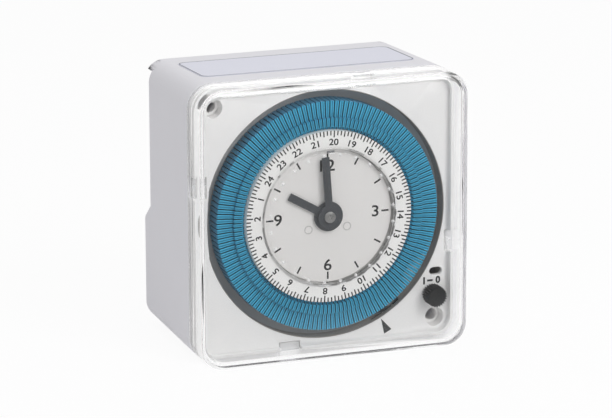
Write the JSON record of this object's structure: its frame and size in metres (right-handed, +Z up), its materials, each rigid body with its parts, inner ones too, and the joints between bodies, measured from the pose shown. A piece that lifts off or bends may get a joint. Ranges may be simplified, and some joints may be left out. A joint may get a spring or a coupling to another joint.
{
  "type": "mechanical 24-hour time switch",
  "caption": "Square analogue 24-hour time switch with blue switching segments, a 12-hour clock, an override knob, a clear cover and a rail recess.",
  "frame": {"origin": "middle of the base edge of the 72 mm front, under the middle of the depth", "axes": "+X to the right seen from the front, +Y from the clear cover to the rear, +Z up"},
  "size_m": [0.072, 0.0492, 0.072],
  "materials": {
    "cover_clear": "gloss",
    "housing_grey": "matte",
    "plate_white": "matte",
    "well_grey": "satin",
    "dial_white": "satin",
    "segment_blue": "satin",
    "hand_grey": "satin",
    "knob_dark": "satin",
    "label_film": "satin",
    "steel": "satin",
    "brass": "satin",
    "copper": "satin",
    "block_grey": "satin",
    "board_green": "satin",
    "battery_green": "satin",
    "capacitor_yellow": "satin",
    "resistor_tan": "satin",
    "plunger_red": "satin"
  },
  "bodies": {
    "body": {"case_shell": "housing_grey", "face_plate": "plate_white", "dial_well": "well_grey", "clock_face": "dial_white", "rating_label": "label_film", "pointer_mark": "knob_dark", "front_movement_plate": "steel", "back_movement_plate": "steel", "plate_pillars": "steel", "movement_screws": "steel", "well_screws": "steel", "gear_motor": "steel", "circuit_board": "board_green", "board_standoffs": "dial_white", "reserve_battery": "battery_green", "mains_capacitor": "capacitor_yellow", "quartz_crystal": "steel", "board_resistors": "resistor_tan", "terminal_block": "block_grey", "clamp_cages": "brass", "terminal_screws": "steel", "contact_strips": "copper", "switch_body": "knob_dark", "switch_contacts": "copper", "lever_pin": "steel", "knob_detent": "steel", "rail_clip_spring": "steel"},
    "cover": {"clear_cover": "cover_clear"},
    "dial": {"dial_ring": "dial_white", "segments": "segment_blue", "centre_window": "cover_clear"},
    "segment_01": {"segment_01": "segment_blue"},
    "segment_02": {"segment_02": "segment_blue"},
    "segment_03": {"segment_03": "segment_blue"},
    "segment_04": {"segment_04": "segment_blue"},
    "segment_05": {"segment_05": "segment_blue"},
    "segment_06": {"segment_06": "segment_blue"},
    "segment_07": {"segment_07": "segment_blue"},
    "segment_08": {"segment_08": "segment_blue"},
    "segment_09": {"segment_09": "segment_blue"},
    "segment_10": {"segment_10": "segment_blue"},
    "segment_11": {"segment_11": "segment_blue"},
    "segment_12": {"segment_12": "segment_blue"},
    "hour": {"hour_hand": "hand_grey", "hour_wheel": "brass"},
    "minute": {"minute_hand": "hand_grey", "minute_arbor": "steel", "minute_wheel": "brass", "hand_screw": "steel"},
    "transfer": {"transfer_wheel": "brass", "transfer_arbor": "steel"},
    "idler": {"idler_wheel": "brass", "idler_arbor": "dial_white"},
    "drive": {"drive_pinion": "dial_white"},
    "knob": {"override_knob": "knob_dark", "override_cam": "dial_white"},
    "lever": {"sensing_lever": "knob_dark"},
    "plunger": {"switch_plunger": "plunger_red"},
    "clip": {"rail_clip": "block_grey"}
  },
  "joints": [
    {"name": "cover_lift", "type": "slide", "parent": "body", "child": "cover", "axis": [0, -1, 0], "range_m": [0, 0.018]},
    {"name": "dial_spin", "type": "hinge", "parent": "body", "child": "dial", "pos_m": [0, 0, 0.036], "axis": [0, 1, 0], "continuous": true},
    {"name": "segment_01_slide", "type": "slide", "parent": "dial", "child": "segment_01", "axis": [0.5351, 0, 0.8448], "range_m": [0, 0.0015]},
    {"name": "segment_02_slide", "type": "slide", "parent": "dial", "child": "segment_02", "axis": [0.4977, 0, 0.8673], "range_m": [0, 0.0015]},
    {"name": "segment_03_slide", "type": "slide", "parent": "dial", "child": "segment_03", "axis": [0.4594, 0, 0.8882], "range_m": [0, 0.0015]},
    {"name": "segment_04_slide", "type": "slide", "parent": "dial", "child": "segment_04", "axis": [0.4202, 0, 0.9074], "range_m": [0, 0.0015]},
    {"name": "segment_05_slide", "type": "slide", "parent": "dial", "child": "segment_05", "axis": [0.3803, 0, 0.9249], "range_m": [0, 0.0015]},
    {"name": "segment_06_slide", "type": "slide", "parent": "dial", "child": "segment_06", "axis": [0.3396, 0, 0.9406], "range_m": [0, 0.0015]},
    {"name": "segment_07_slide", "type": "slide", "parent": "dial", "child": "segment_07", "axis": [0.2982, 0, 0.9545], "range_m": [0, 0.0015]},
    {"name": "segment_08_slide", "type": "slide", "parent": "dial", "child": "segment_08", "axis": [0.2563, 0, 0.9666], "range_m": [0, 0.0015]},
    {"name": "segment_09_slide", "type": "slide", "parent": "dial", "child": "segment_09", "axis": [0.2139, 0, 0.9769], "range_m": [0, 0.0015]},
    {"name": "segment_10_slide", "type": "slide", "parent": "dial", "child": "segment_10", "axis": [0.1711, 0, 0.9853], "range_m": [0, 0.0015]},
    {"name": "segment_11_slide", "type": "slide", "parent": "dial", "child": "segment_11", "axis": [0.1279, 0, 0.9918], "range_m": [0, 0.0015]},
    {"name": "segment_12_slide", "type": "slide", "parent": "dial", "child": "segment_12", "axis": [0.0845, 0, 0.9964], "range_m": [0, 0.0015]},
    {"name": "hour_spin", "type": "hinge", "parent": "body", "child": "hour", "pos_m": [0, 0, 0.036], "axis": [0, 1, 0], "continuous": true},
    {"name": "minute_spin", "type": "hinge", "parent": "body", "child": "minute", "pos_m": [0, 0, 0.036], "axis": [0, 1, 0], "continuous": true},
    {"name": "transfer_spin", "type": "hinge", "parent": "body", "child": "transfer", "pos_m": [-0.01485, 0, 0.02115], "axis": [0, 1, 0], "continuous": true},
    {"name": "idler_spin", "type": "hinge", "parent": "body", "child": "idler", "pos_m": [0.01856, 0, 0.05456], "axis": [0, 1, 0], "continuous": true},
    {"name": "drive_spin", "type": "hinge", "parent": "body", "child": "drive", "pos_m": [-0.01414, 0, 0.05014], "axis": [0, 1, 0], "continuous": true},
    {"name": "knob_turn", "type": "hinge", "parent": "body", "child": "knob", "pos_m": [0.02915, 0, 0.0123], "axis": [0, 1, 0], "range_deg": [-35, 35]},
    {"name": "lever_rock", "type": "hinge", "parent": "body", "child": "lever", "pos_m": [0.0245, 0, 0.0085], "axis": [0, -1, 0], "range_deg": [0, 6], "stiffness_Nm_per_rad": 0.002},
    {"name": "plunger_press", "type": "slide", "parent": "body", "child": "plunger", "axis": [0, 0, -1], "range_m": [0, 0.0013]},
    {"name": "clip_slide", "type": "slide", "parent": "body", "child": "clip", "axis": [0, 0, -1], "range_m": [0, 0.003], "stiffness_N_per_m": 1500, "deforming": ["rail_clip_spring"]}
  ],
  "couplings": [
    {"joint": "hour_spin", "follows": "dial_spin", "ratio": 2},
    {"joint": "minute_spin", "follows": "dial_spin", "ratio": 24},
    {"joint": "transfer_spin", "follows": "dial_spin", "ratio": -10},
    {"joint": "idler_spin", "follows": "dial_spin", "ratio": -4},
    {"joint": "drive_spin", "follows": "dial_spin", "ratio": -72},
    {"joint": "plunger_press", "follows": "lever_rock", "m_per_rad": 0.0115}
  ]
}
